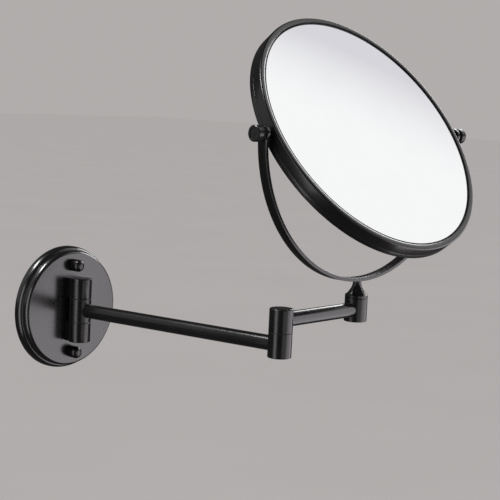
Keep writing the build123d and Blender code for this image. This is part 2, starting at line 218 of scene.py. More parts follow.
@dataclass(frozen=True)
class Metal:
    """Bare or plated metal with fine turning or drawing lines."""

    name: str
    colour: Colour = (0.60, 0.60, 0.59)
    stained: Colour = (0.42, 0.41, 0.40)
    roughness: float = 0.28
    grain: float = 0.0004
    depth: float = 0.000006

    def make(self) -> Material:
        """Build the material."""
        graph = Graph.of_material(self.name)
        stain = graph.ramp(graph.noise(0.006, 4.0, 0.6), 0.45, 0.8)
        scratch = graph.noise(self.grain, 3.0, 0.7)
        normal = graph.bump(scratch, self.depth, 0.6)
        return graph.finish({
            "Base Color": graph.mix(stain, self.colour, self.stained), "Metallic": 1.0,
            "Roughness": self.roughness + stain * 0.12 + scratch * 0.08, "Normal": normal,
        })


@dataclass(frozen=True)
class Silvering:
    """Silvered glass: near perfect reflection with a trace of dust and wipe marks."""

    name: str
    colour: Colour = (0.93, 0.935, 0.94)
    hazed: Colour = (0.89, 0.893, 0.90)

    def make(self) -> Material:
        """Build the material."""
        graph = Graph.of_material(self.name)
        wipe = graph.ramp(graph.noise(0.03, 4.0, 0.6), 0.45, 0.8)
        dust = graph.ramp(graph.noise(0.0008, 1.0, 0.5), 0.72, 0.80)
        haze = graph.ramp(wipe * 0.35 + dust * 0.6, 0.0, 1.0)
        return graph.finish({
            "Base Color": graph.mix(haze, self.colour, self.hazed), "Metallic": 1.0,
            "Roughness": 0.012 + haze * 0.03, "IOR": 1.52,
        })


@dataclass(frozen=True)
class Moulding:
    """Moulded black plastic or rubber with a fine texture."""

    name: str
    colour: Colour = (0.02, 0.02, 0.02)
    lighter: Colour = (0.035, 0.035, 0.034)
    roughness: float = 0.55
    grain: float = 0.0005
    depth: float = 0.00002

    def make(self) -> Material:
        """Build the material."""
        graph = Graph.of_material(self.name)
        bloom = graph.ramp(graph.noise(0.012, 4.0, 0.6), 0.4, 0.75)
        spark = graph.noise(self.grain, 3.0, 0.6)
        return graph.finish({
            "Base Color": graph.mix(bloom, self.colour, self.lighter),
            "Roughness": self.roughness + bloom * 0.12,
            "Normal": graph.bump(spark, self.depth, 0.5),
        })


class Finishes:
    """Every finish of the mirror, made once."""

    def __init__(self) -> None:
        """Make the materials."""
        self.paint = Paint("satin_black_paint").make()
        self.plate_paint = Paint("satin_black_plate", gloss=0.24, coat=1.0,
                                 coat_roughness=0.2).make()
        self.knob_paint = Paint("satin_black_knob", gloss=0.28, peel=0.0004).make()
        self.steel = Metal("plated_steel").make()
        self.spring = Metal("spring_steel", (0.42, 0.42, 0.43), (0.30, 0.29, 0.28), 0.34).make()
        self.silver = Silvering("silvered_glass").make()
        self.rubber = Moulding("gasket_rubber", (0.004, 0.004, 0.004), (0.008, 0.008, 0.008),
                               0.6).make()
        self.plastic = Moulding("moulded_plastic", roughness=0.42).make()
        self.nylon = Moulding("nylon_washer", (0.03, 0.03, 0.03), (0.05, 0.05, 0.05), 0.5).make()


# ---- modelling


def deselect_all() -> None:
    """Leave edit mode and deselect every object."""
    if bpy.context.object is not None and bpy.context.object.mode != "OBJECT":
        bpy.ops.object.mode_set(mode="OBJECT")
    bpy.ops.object.select_all(action="DESELECT")


def extrude_up(rise: float, widen: float, deepen: float) -> None:
    """Extrude the selected edges upwards, and scale them about the axis in X and Y."""
    bpy.ops.mesh.extrude_edges_move(TRANSFORM_OT_translate={"value": (0.0, 0.0, rise)})
    bpy.ops.transform.resize(value=(widen, deepen, 1.0), center_override=(0.0, 0.0, 0.0))


@dataclass(frozen=True)
class Corner:
    """One corner of a turned outline, rounded or left sharp."""

    radius: float
    height: float
    rounding: float = 0.0


def arc_points(before: Vector, corner: Vector, after: Vector, rounding: float) -> list[Point]:
    """Points of the arc that rounds a corner.

    Args:
        before: the outline's point before the corner.
        corner: the corner itself.
        after: the outline's point after it.
        rounding: the arc's radius.

    Returns:
        Points from the arc's start to its end.
    """
    incoming = (before - corner).normalized()
    outgoing = (after - corner).normalized()
    half = incoming.angle(outgoing) / 2
    centre = corner + (incoming + outgoing).normalized() * (rounding / math.sin(half))
    start = corner + incoming * (rounding / math.tan(half)) - centre
    turn = math.pi - 2 * half
    sign = 1.0 if incoming.x * outgoing.y - incoming.y * outgoing.x < 0 else -1.0
    steps = max(2, math.ceil(turn / ARC_STEP))
    points = []
    for index in range(steps + 1):
        angle = sign * turn * index / steps
        cos, sin = math.cos(angle), math.sin(angle)
        points.append((centre.x + start.x * cos - start.y * sin,
                       centre.y + start.x * sin + start.y * cos))
    return points


def swept(centre: Point, across: float, up: float, start: float, end: float,
          steps: int) -> list[Corner]:
    """Corners along part of an ellipse.

    Args:
        centre: its centre, as radius and height.
        across: its half width.
        up: its half height.
        start: the first angle in degrees, from the outside towards the top.
        end: the last angle in degrees.
        steps: how many steps it takes.

    Returns:
        The corners from the first angle to the last.
    """
    corners = []
    for index in range(steps + 1):
        angle = math.radians(start + (end - start) * index / steps)
        corners.append(Corner(centre[0] + across * math.cos(angle),
                              centre[1] + up * math.sin(angle)))
    return corners


def outline_points(corners: Sequence[Corner], closed: bool) -> list[Point]:
    """The points of an outline with its corners rounded.

    Args:
        corners: the outline's corners in order.
        closed: whether the last corner joins the first.

    Returns:
        Pairs of radius and height.
    """
    points: list[Point] = []
    count = len(corners)
    for index, corner in enumerate(corners):
        here = Vector((corner.radius, corner.height))
        ends = index in (0, count - 1) and not closed
        if corner.rounding <= 0.0 or ends:
            points.append((here.x, here.y))
            continue
        before = corners[index - 1]
        after = corners[(index + 1) % count]
        points += arc_points(Vector((before.radius, before.height)), here,
                             Vector((after.radius, after.height)), corner.rounding)
    return points


class Workpiece:
    """One mesh, shaped in edit mode and then placed."""

    def __init__(self, obj: Object, name: str) -> None:
        """Take over a new primitive.

        Args:
            obj: the primitive.
            name: the piece's name.
        """
        self.obj = obj
        self.name = name
        obj.name = name
        obj.data.name = name

    @classmethod
    def turned(cls, name: str, corners: Sequence[Corner], closed: bool = False,
               sides: int = ROUND) -> "Workpiece":
        """Turn an outline about Z. An open one starts and ends on a flat cap.

        Args:
            name: the piece's name.
            corners: the outline.
            closed: True for a ring, whose outline returns to its start.
            sides: how many sides the round has.

        Returns:
            The piece, in edit mode.
        """
        points = outline_points(corners, closed)
        deselect_all()
        bpy.ops.mesh.primitive_circle_add(vertices=sides, radius=points[0][0],
                                          location=(0.0, 0.0, points[0][1]))
        piece = cls(bpy.context.object, name)
        bpy.ops.object.mode_set(mode="EDIT")
        bpy.ops.mesh.select_all(action="SELECT")
        radius, height = points[0]
        path = points[1:] + (points[:1] if closed else [])
        for next_radius, next_height in path:
            grow = next_radius / radius
            extrude_up(next_height - height, grow, grow)
            radius, height = next_radius, next_height
        bpy.ops.mesh.select_all(action="SELECT")
        bpy.ops.mesh.remove_doubles(threshold=SAME_PLACE)
        if not closed:
            piece.cap_open_ends()
        bpy.ops.mesh.select_all(action="SELECT")
        bpy.ops.mesh.normals_make_consistent(inside=False)
        return piece

    def copied(self, name: str) -> "Workpiece":
        """Copy the piece before it is placed.

        Args:
            name: the copy's name.

        Returns:
            The copy, with its own mesh.
        """
        deselect_all()
        obj = self.obj.copy()
        obj.data = self.obj.data.copy()
        bpy.context.collection.objects.link(obj)
        bpy.context.view_layer.update()
        return Workpiece(obj, name)

    def cap_open_ends(self) -> None:
        """Close every open round with a face."""
        bpy.ops.mesh.select_all(action="DESELECT")
        bpy.ops.mesh.select_mode(type="EDGE")
        bpy.ops.mesh.select_non_manifold()
        bpy.ops.mesh.edge_face_add()

    def pick(self, faces: Optional[Callable[[BMFace], bool]] = None,
             edges: Optional[Callable[[BMEdge], bool]] = None) -> int:
        """Select faces or edges by a test.

        Args:
            faces: the test for faces.
            edges: the test for edges, if no faces are picked.

        Returns:
            How many are selected.
        """
        bpy.ops.mesh.select_all(action="DESELECT")
        bpy.ops.mesh.select_mode(type="FACE" if faces else "EDGE")
        mesh = bmesh.from_edit_mesh(self.obj.data)
        test = faces or edges
        chosen = [item for item in (mesh.faces if faces else mesh.edges) if test(item)]
        for item in chosen:
            item.select_set(True)
        mesh.select_flush_mode()
        bmesh.update_edit_mesh(self.obj.data)
        return len(chosen)

    def bevel_sharp(self, width: float,
                    where: Optional[Callable[[Vector], bool]] = None) -> None:
        """Round the sharp edges.

        Args:
            width: the bevel's width.
            where: a test on the edge's middle.
        """
        def sharp(edge: BMEdge) -> bool:
            """Whether an edge is sharp and stands where it should."""
            middle = (edge.verts[0].co + edge.verts[1].co) / 2
            place = self.obj.matrix_world @ middle
            return (len(edge.link_faces) == 2 and edge.calc_face_angle(0.0) > SHARP_ABOVE
                    and (where is None or where(place)))

        if self.pick(edges=sharp):
            bpy.ops.mesh.bevel(offset=width, segments=BEVEL_STEPS, affect="EDGES")

    def placed(self, place: Matrix) -> Object:
        """Leave edit mode, smooth the piece and bake its place into its mesh.

        Args:
            place: where the local frame stands.

        Returns:
            The finished object.
        """
        deselect_all()
        self.obj.select_set(True)
        bpy.context.view_layer.objects.active = self.obj
        self.obj.matrix_world = place @ self.obj.matrix_world
        bpy.ops.object.transform_apply(location=True, rotation=True, scale=True)
        bpy.ops.object.shade_smooth_by_angle(angle=SMOOTH_BELOW)
        self.obj.select_set(False)
        return self.obj


def turned_shell(name: str, corners: Sequence[Corner], sides: int = ROUND) -> Workpiece:
    """Turn an outline that ends on the axis, each cap a small disc with rings around it."""
    return Workpiece.turned(name, [
        Corner(max(corner.radius, AXIS_HOLE), corner.height, corner.rounding)
        for corner in corners], sides=sides)


def solid_round(name: str, radius: float, low: float, high: float, low_edge: float = 0.0,
                high_edge: float = 0.0, sides: int = ROUND) -> Workpiece:
    """Turn a plain solid round from its low to its high end, with rounded edges."""
    return turned_shell(name, [
        Corner(0.0, low), Corner(radius, low, low_edge), Corner(radius, high, high_edge),
        Corner(0.0, high)], sides)


def fit_out(obj: Object, material: Material, body: Body, node: str) -> None:
    """Dress a piece, let it ride on its body and say what it stands for.

    Args:
        obj: the piece.
        material: its finish.
        body: the body that it moves with.
        node: the frame's node that it replaces.
    """
    obj.data.materials.clear()
    obj.data.materials.append(material)
    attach(obj, body.value)
    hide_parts(node)
    LOG.info("%s: %d faces on %s", obj.name, len(obj.data.polygons), body.value)


def dress_nodes(material: Material, *names: str) -> None:
    """Give nodes that stay their finish.

    Args:
        material: the finish.
        names: the nodes.
    """
    for name in names:
        for material_slot in frame["nodes"][name].material_slots:
            material_slot.material = material
        LOG.info("%s: kept node", name)


# ---- where things are


@dataclass(frozen=True)
class Rig:
    """The local frames of the bodies: Z up, and out along -Y."""

    arm1: Matrix
    arm2: Matrix
    yoke: Matrix
    head: Matrix
    arm1_length: float
    arm2_length: float
    hinge_out: float
    pivot_height: float

    @classmethod
    def from_joints(cls, joints: Iterable[dict], tilt: float) -> "Rig":
        """Work the frames out from the joints' places.

        Args:
            joints: the record's joints.
            tilt: how far the head leans back, in radians.

        Returns:
            The rig.
        """
        at = {joint["name"]: Vector(joint["pos_m"]) for joint in joints}
        axis = {joint["name"]: Vector(joint["axis"]) for joint in joints}
        hinge, elbow = at["wall_swing"], at["elbow_fold"]
        swivel, pivot = at["head_swivel"], at["mirror_tilt"]
        yaw = math.atan2(axis["mirror_tilt"].y, axis["mirror_tilt"].x)
        upright = Matrix.Rotation(yaw, 4, "Z")
        return cls(
            arm1=cls._arm(hinge, elbow), arm2=cls._arm(elbow, swivel),
            yoke=Matrix.Translation(swivel) @ upright,
            head=Matrix.Translation(pivot) @ upright @ Matrix.Rotation(-tilt, 4, "X"),
            arm1_length=(elbow - hinge).length, arm2_length=(swivel - elbow).length,
            hinge_out=-hinge.y, pivot_height=pivot.z,
        )

    @staticmethod
    def _arm(start: Vector, end: Vector) -> Matrix:
        """The frame of an arm.

        Args:
            start: its first joint.
            end: the joint that it reaches to.

        Returns:
            The frame at the first joint, out towards the other.
        """
        reach = end - start
        turn = math.atan2(reach.x, -reach.y)
        return Matrix.Translation(start) @ Matrix.Rotation(turn, 4, "Z")


HEAD_TILT = math.radians(36.9)
OUT_OF_WALL = Matrix.Rotation(math.pi / 2, 4, "X")
BACKWARDS = Matrix.Rotation(-math.pi / 2, 4, "X")
ALONG_X = Matrix.Rotation(math.pi / 2, 4, "Y")
ALONG_MINUS_X = Matrix.Rotation(-math.pi / 2, 4, "Y")


# ---- sub-assemblies


@dataclass
class SubAssembly:
    """Pieces that share the finishes and the rig."""

    finishes: Finishes
    rig: Rig

    def paint(self, piece: Workpiece, place: Matrix, body: Body) -> None:
        """Place a painted piece that has the name of the node that it replaces."""
        fit_out(piece.placed(place), self.finishes.paint, body, piece.name)


@dataclass
class WallPlate(SubAssembly):
    """Stepped cover with its domed nuts, and the bracket behind it."""

    radius: float = 48.5 * MM
    depth: float = 11.6 * MM
    flange_depth: float = 6.4 * MM
    step_radius: float = 45.8 * MM
    face_radius: float = 43.2 * MM
    flange_curve: float = 5.0 * MM
    step_curve: float = 4.5 * MM
    sheet: float = 1.5 * MM
    tier_joint: float = 0.4 * MM
    foot_edge: float = 0.3 * MM
    curve_steps: int = 16
    nut_height: float = 34.5 * MM
    nut_radius: float = 4.75 * MM
    nut_length: float = 9.5 * MM
    nut_dome: float = 3.8 * MM
    nut_chamfer: float = 0.5 * MM

    def build(self) -> None:
        """Build the cover and the nuts, and dress what is behind the cover."""
        self.build_cover()
        self.build_nuts()
        dress_nodes(self.finishes.steel, "wall_bracket", "bracket_studs", "knuckle_screws")

    def build_cover(self) -> None:
        """Turn the cover as a shell, its two tiers softly convex."""
        inner, step = self.radius - self.sheet, self.step_radius - self.sheet
        flange, face = self.flange_depth - self.sheet, self.depth - self.sheet
        flange_start = self.flange_depth - self.flange_curve
        step_start = self.depth - self.step_curve
        corners = [
            Corner(0.0, face), Corner(self.face_radius - self.sheet, face),
            Corner(step, step_start), Corner(step, flange),
            Corner(self.step_radius - self.tier_joint, flange), Corner(inner, flange_start),
            Corner(inner, 0.0), Corner(self.radius, 0.0, self.foot_edge),
        ]
        corners += swept((self.step_radius, flange_start), self.radius - self.step_radius,
                         self.flange_curve, 0.0, 90.0, self.curve_steps)
        corners += swept((self.face_radius, step_start), self.step_radius - self.face_radius,
                         self.step_curve, 0.0, 90.0, self.curve_steps)
        corners.append(Corner(0.0, self.depth))
        cover = turned_shell("cover", corners)
        fit_out(cover.placed(OUT_OF_WALL), self.finishes.plate_paint, Body.WALL, "cover_plate")

    def build_nuts(self) -> None:
        """Turn one of the domed nuts that hold the cover, and copy it."""
        upper = solid_round("cap_nut_upper", self.nut_radius, self.depth,
                            self.depth + self.nut_length, self.nut_chamfer, self.nut_dome,
                            SMALL_ROUND)
        for nut, side in ((upper, 1), (upper.copied("cap_nut_lower"), -1)):
            place = Matrix.Translation((0.0, 0.0, side * self.nut_height)) @ OUT_OF_WALL
            fit_out(nut.placed(place), self.finishes.knob_paint, Body.WALL, "cap_nuts")


@dataclass
class WallHinge(SubAssembly):
    """The two fixed barrels with flat-seated feet, and the moving one between them."""

    plate_depth: float = 11.6 * MM
    radius: float = 8.6 * MM
    half: float = 25.0 * MM
    moving_half: float = 9.0 * MM
    gap: float = 0.4 * MM
    foot_half: float = 6.5 * MM
    edge: float = 0.45 * MM
    gap_edge: float = 0.15 * MM

    def build(self) -> None:
        """Build the three barrels and dress the pin and washers."""
        start = self.moving_half + self.gap
        self.build_fixed("upper_knuckle", start, self.half)
        self.build_fixed("lower_knuckle", -self.half, -start)
        barrel = solid_round("arm1_knuckle", self.radius, -self.moving_half, self.moving_half,
                             self.gap_edge, self.gap_edge)
        self.paint(barrel, self.rig.arm1, Body.FIRST_ARM)
        dress_nodes(self.finishes.steel, "wall_hinge_pin")
        dress_nodes(self.finishes.nylon, "wall_hinge_washers")

    def build_fixed(self, name: str, low: float, high: float) -> None:
        """Build a fixed barrel.

        Args:
            name: the node that it replaces.
            low: its lower end.
            high: its upper end.
        """
        barrel = solid_round(name, self.radius, low, high)
        seat = self.rig.hinge_out - self.plate_depth

        def faces_wall(face: BMFace) -> bool:
            """Whether a side face looks at the wall within the foot's width."""
            middle = face.calc_center_median()
            return (abs(face.normal.z) < 0.5 and middle.y > 0
                    and abs(middle.x) < self.foot_half + SAME_PLACE)

        barrel.pick(faces=faces_wall)
        bpy.ops.mesh.extrude_region_move(TRANSFORM_OT_translate={"value": (0.0, seat, 0.0)})
        bpy.ops.transform.resize(value=(1.0, 0.0, 1.0), center_override=(0.0, seat, 0.0))
        barrel.bevel_sharp(self.edge, lambda at: at.y < seat - SAME_PLACE)
        place = Matrix.Translation((0.0, -self.rig.hinge_out, 0.0))
        self.paint(barrel, place, Body.WALL)


@dataclass
class Arms(SubAssembly):
    """The two tubes, the elbow and the end barrel."""

    radius: float = 8.6 * MM
    tube_radius: float = 5.5 * MM
    tube_wall: float = 1.2 * MM
    tube_start: float = 5.65 * MM
    elbow_bottom: float = -9.3 * MM
    elbow_split: float = 8.5 * MM
    gap: float = 0.4 * MM
    elbow_top: float = 26.0 * MM
    elbow_floor: float = -3.1 * MM
    arm2_height: float = 17.5 * MM
    end_bottom: float = 8.6 * MM
    end_top: float = 26.2 * MM
    end_ceiling: float = 20.0 * MM
    cavity: float = 5.0 * MM
    bore: float = 3.05 * MM
    edge: float = 0.5 * MM
    top_edge: float = 0.9 * MM
    split_edge: float = 0.15 * MM

    def build(self) -> None:
        """Build every visible piece of both arms, the elbow's top softly rounded."""
        rig = self.rig
        self.build_tube("arm1_tube", rig.arm1_length, 0.0, rig.arm1, Body.FIRST_ARM)
        self.build_tube("arm2_tube", rig.arm2_length, self.arm2_height, rig.arm2,
                        Body.SECOND_ARM)
        elbow_place = rig.arm1 @ Matrix.Translation((0.0, -rig.arm1_length, 0.0))
        end_place = rig.arm2 @ Matrix.Translation((0.0, -rig.arm2_length, 0.0))
        lower = self.open_barrel("elbow_lower_barrel", self.elbow_bottom, self.elbow_split,
                                 self.elbow_floor)
        self.paint(lower, elbow_place, Body.FIRST_ARM)
        upper = solid_round("elbow_upper_barrel", self.radius, self.elbow_split + self.gap,
                            self.elbow_top, self.split_edge, self.top_edge)
        self.paint(upper, rig.arm2, Body.SECOND_ARM)
        end = self.open_barrel("end_barrel", self.end_bottom, self.end_top, self.end_ceiling)
        self.paint(end, end_place, Body.SECOND_ARM)
        self.dress()

    def build_tube(self, name: str, length: float, height: float, place: Matrix,
                   body: Body) -> None:
        """Build a tube from barrel to barrel.

        Args:
            name: the node that it replaces.
            length: distance between the barrels' axes.
            height: its height.
            place: the arm's frame.
            body: the body that it rides on.
        """
        inner = self.tube_radius - self.tube_wall
        start, end = self.tube_start, length - self.tube_start
        corners = [Corner(inner, start), Corner(self.tube_radius, start),
                   Corner(self.tube_radius, end), Corner(inner, end)]
        tube = Workpiece.turned(name, corners, closed=True)
        local = Matrix.Translation((0.0, 0.0, height)) @ OUT_OF_WALL
        self.paint(tube, place @ local, body)

    def open_barrel(self, name: str, low: float, high: float, ceiling: float) -> Workpiece:
        """A barrel with a cavity from below up to its ceiling, and a bore above it."""
        corners = [
            Corner(self.bore, ceiling), Corner(self.cavity, ceiling), Corner(self.cavity, low),
            Corner(self.radius, low, self.edge), Corner(self.radius, high, self.split_edge),
            Corner(self.bore, high),
        ]
        return Workpiece.turned(name, corners, closed=True)

    def dress(self) -> None:
        """Dress what stays of the frame."""
        dress_nodes(self.finishes.plastic, "elbow_plug", "end_barrel_plug")
        dress_nodes(self.finishes.steel, "elbow_bolt")
        dress_nodes(self.finishes.spring, "elbow_wave_washer")
        dress_nodes(self.finishes.nylon, "elbow_washer")


@dataclass
class Swivel(SubAssembly):
    """The trumpet-shaped stem and the yoke."""

    barrel_radius: float = 8.6 * MM
    base: float = 26.5 * MM
    shoulder: float = 28.8 * MM
    neck: float = 3.1 * MM
    flare: float = 7.9 * MM
    flare_rise: float = 0.2 * MM
    flare_power: float = 2.1
    base_edge: float = 0.15 * MM
    shoulder_edge: float = 0.4 * MM
    spindle: float = 3.0 * MM
    spindle_bottom: float = 13.2 * MM
    yoke_mid: float = 108.0 * MM
    yoke_thick: float = 2.8 * MM
    yoke_width: float = 8.0 * MM
    yoke_edge: float = 0.45 * MM
    yoke_steps: int = 80
    eye_radius: float = 5.8 * MM
    eye_steps: int = 22
    eye_end: float = math.radians(87.0)
    flare_steps: int = 14

    def build(self) -> None:
        """Build the stem and the yoke, and dress the spindle's fasteners."""
        self.build_stem()
        self.build_yoke()
        dress_nodes(self.finishes.steel, "swivel_washer", "swivel_nut")
        dress_nodes(self.finishes.knob_paint, "yoke_screw")
        dress_nodes(self.finishes.spring, "swivel_wave_washer")

    def build_stem(self) -> None:
        """Turn the stem with its hollow flare."""
        top = self.rig.pivot_height - self.yoke_mid - self.yoke_thick / 2
        foot = self.shoulder + self.flare_rise
        corners = [
            Corner(0.0, self.spindle_bottom), Corner(self.spindle, self.spindle_bottom),
            Corner(self.spindle, self.base),
            Corner(self.barrel_radius, self.base, self.base_edge),
            Corner(self.barrel_radius, self.shoulder, self.shoulder_edge),
            Corner(self.flare, foot),
        ]
        for index in range(1, self.flare_steps + 1):
            share = index / self.flare_steps
            radius = self.neck + (self.flare - self.neck) * (1 - share) ** self.flare_power
            corners.append(Corner(radius, foot + (top - foot) * share))
        corners.append(Corner(0.0, top))
        stem = turned_shell("swivel_stem", corners)
        self.paint(stem, self.rig.yoke, Body.YOKE)

    def build_yoke(self) -> None:
        """Spin a flat section through half a turn and widen both ends into eyes."""
        deselect_all()
        bpy.ops.mesh.primitive_plane_add(size=1.0, location=(-self.yoke_mid, 0.0, 0.0))
        piece = Workpiece(bpy.context.object, "yoke")
        bpy.ops.object.mode_set(mode="EDIT")
        bpy.ops.mesh.select_all(action="SELECT")
        at = (-self.yoke_mid, 0.0, 0.0)
        bpy.ops.transform.resize(value=(self.yoke_thick, self.yoke_width, 1.0),
                                 center_override=at)
        bpy.ops.mesh.spin(steps=self.yoke_steps, angle=math.pi, center=(0.0, 0.0, 0.0),
                          axis=(0.0, 1.0, 0.0), use_normal_flip=False, dupli=False)
        neck = -self.yoke_mid * math.sin(math.pi / self.yoke_steps)
        piece.pick(faces=lambda face: face.calc_center_median().z > neck + 0.1 * MM)
        bpy.ops.mesh.delete(type="FACE")
        self.widen_end(piece, neck, 1.0)
        self.widen_end(piece, neck, -1.0)
        bpy.ops.mesh.select_all(action="SELECT")
        bpy.ops.mesh.remove_doubles(threshold=SAME_PLACE)
        bpy.ops.mesh.normals_make_consistent(inside=False)
        piece.bevel_sharp(self.yoke_edge)
        place = self.rig.yoke @ Matrix.Translation((0.0, 0.0, self.rig.pivot_height))
        self.paint(piece, place, Body.YOKE)

    def widen_end(self, piece: Workpiece, neck: float, side: float) -> None:
        """Widen one end of the strip into a round eye.

        Args:
            piece: the strip.
            neck: the height at which the strip ends.
            side: 1 for the right end, -1 for the left.
        """
        lean = self.yoke_thick * 0.1

        def at_end(edge: BMEdge) -> bool:
            """Whether an edge lies in the strip's end on this side."""
            places = [piece.obj.matrix_world @ vertex.co for vertex in edge.verts]
            return all(at.z > neck - lean and at.x * side > 0 for at in places)

        piece.pick(edges=at_end)
        bpy.ops.transform.resize(value=(1.0, 1.0, 0.0), center_override=(0.0, 0.0, neck))
        start = math.asin(neck / self.eye_radius)
        height, half = neck, self.yoke_width / 2
        for index in range(1, self.eye_steps + 1):
            angle = start + (self.eye_end - start) * index / self.eye_steps
            next_height = self.eye_radius * math.sin(angle)
            next_half = self.eye_radius * math.cos(angle)
            extrude_up(next_height - height, 1.0, next_half / half)
            height, half = next_height, next_half
        bpy.ops.mesh.edge_face_add()


@dataclass
class Head(SubAssembly):
    """The rim, its two glasses, the pivots and the collars."""

    radius: float = 102.1 * MM
    half: float = 6.7 * MM
    wall: float = 2.0 * MM
    outer_round: float = 1.1 * MM
    bead_inner: float = 97.15 * MM
    crown: float = 100.3 * MM
    fall: float = 1.5 * MM
    round_steps: int = 10
    crown_steps: int = 14
    seam_edge: float = 0.15 * MM
    ledge_inner: float = 94.5 * MM
    ledge_low: float = 2.05 * MM
    ledge_high: float = 3.2 * MM
    seam: float = 2.0 * MM
    glass_radius: float = 97.0 * MM
    glass_face: float = 5.8 * MM
    glass_thick: float = 2.0 * MM
    glass_edge: float = 0.2 * MM
    gasket_high: float = 3.5 * MM
    gasket_lip: float = 96.5 * MM
    gasket_gap: float = 0.02 * MM
    lip_height: float = 0.09 * MM
    lip_edge: float = 0.04 * MM
    sag: float = 4.0 * MM
    dish_steps: int = 24
    collar_start: float = 0.05 * MM
    collar_edge: float = 0.3 * MM
    collar_radius: float = 3.0 * MM
    collar_bore: float = 1.62 * MM
    yoke_inner: float = 106.5 * MM

    def build(self) -> None:
        """Build the visible pieces of the head and dress the others."""
        head = self.rig.head
        self.paint(self.rim("frame_ring", -self.seam), head @ OUT_OF_WALL, Body.HEAD)
        self.paint(self.rim("rear_ring", self.ledge_low), head @ BACKWARDS, Body.HEAD)
        self.build_glasses()
        self.build_collars()
        dress_nodes(self.finishes.plastic, "glass_spacer")
        dress_nodes(self.finishes.steel, "pivot_bosses")

    def rim(self, name: str, seam: float) -> Workpiece:
        """One shell of the rim, its face towards +Z.

        Args:
            name: the piece's name.
            seam: where its outer wall starts.

        Returns:
            The piece.
        """
        outer = self.outer_round
        corners = [Corner(self.radius, seam, self.seam_edge)]
        corners += swept((self.radius - outer, self.half - outer), outer, outer, 0.0, 90.0,
                         self.round_steps)
        corners += swept((self.crown, self.half - self.fall), self.crown - self.bead_inner,
                         self.fall, 90.0, 180.0, self.crown_steps)
        corners += [Corner(self.bead_inner, self.ledge_high),
                    Corner(self.ledge_inner, self.ledge_high),
                    Corner(self.ledge_inner, self.ledge_low)]
        if seam < self.ledge_low:
            corners += [Corner(self.radius - self.wall, self.ledge_low),
                        Corner(self.radius - self.wall, seam)]
        return Workpiece.turned(name, corners, closed=True, sides=WIDE_ROUND)

    def build_glasses(self) -> None:
        """Build the flat and the dished glass, and their gaskets."""
        head = self.rig.head
        face, back = self.glass_face, self.glass_face - self.glass_thick
        flat = solid_round("plain_glass", self.glass_radius, back, face, self.glass_edge,
                           self.glass_edge, WIDE_ROUND)
        fit_out(flat.placed(head @ OUT_OF_WALL), self.finishes.silver, Body.HEAD, "plain_glass")
        dished = turned_shell("magnifying_glass", self.dish(back) + self.dish(face)[::-1],
                              WIDE_ROUND)
        fit_out(dished.placed(head @ BACKWARDS), self.finishes.silver, Body.HEAD,
                "magnifying_glass")
        front = self.gasket("front_gasket")
        for ring, place in ((front, OUT_OF_WALL), (front.copied("rear_gasket"), BACKWARDS)):
            fit_out(ring.placed(head @ place), self.finishes.rubber, Body.HEAD, ring.name)

    def gasket(self, name: str) -> Workpiece:
        """A rubber ring under a glass, its lip folded over the glass's edge.

        Args:
            name: the piece's name.

        Returns:
            The piece.
        """
        gap = self.gasket_gap
        web_in, web_out = self.glass_radius + gap, self.bead_inner - gap
        seat, face = self.ledge_high + gap, self.glass_face + gap
        lip = self.glass_face + self.lip_height
        return Workpiece.turned(name, [
            Corner(self.ledge_inner, seat), Corner(web_out, seat),
            Corner(web_out, lip, self.lip_edge), Corner(self.gasket_lip, lip, self.lip_edge),
            Corner(self.gasket_lip, face), Corner(web_in, face),
            Corner(web_in, self.gasket_high), Corner(self.ledge_inner, self.gasket_high),
        ], closed=True, sides=WIDE_ROUND)

    def dish(self, rim_height: float) -> list[Corner]:
        """Corners of a dished face from the axis to its rim.

        Args:
            rim_height: the height of the face's rim.

        Returns:
            The corners.
        """
        corners = []
        for index in range(self.dish_steps + 1):
            radius = self.glass_radius * index / self.dish_steps
            rise = self.sag * (radius / self.glass_radius) ** 2
            corners.append(Corner(radius, rim_height - self.sag + rise))
        return corners

    def build_collars(self) -> None:
        """Turn one of the two small black collars, and copy it."""
        start = self.radius + self.collar_start
        corners = [
            Corner(self.collar_bore, start),
            Corner(self.collar_radius, start, self.collar_edge),
            Corner(self.collar_radius, self.yoke_inner, self.collar_edge),
            Corner(self.collar_bore, self.yoke_inner),
        ]
        left = Workpiece.turned("pivot_collar_left", corners, closed=True, sides=SMALL_ROUND)
        for collar, place in ((left, ALONG_MINUS_X),
                              (left.copied("pivot_collar_right"), ALONG_X)):
            fit_out(collar.placed(self.rig.head @ place), self.finishes.paint, Body.HEAD,
                    "pivot_collars")


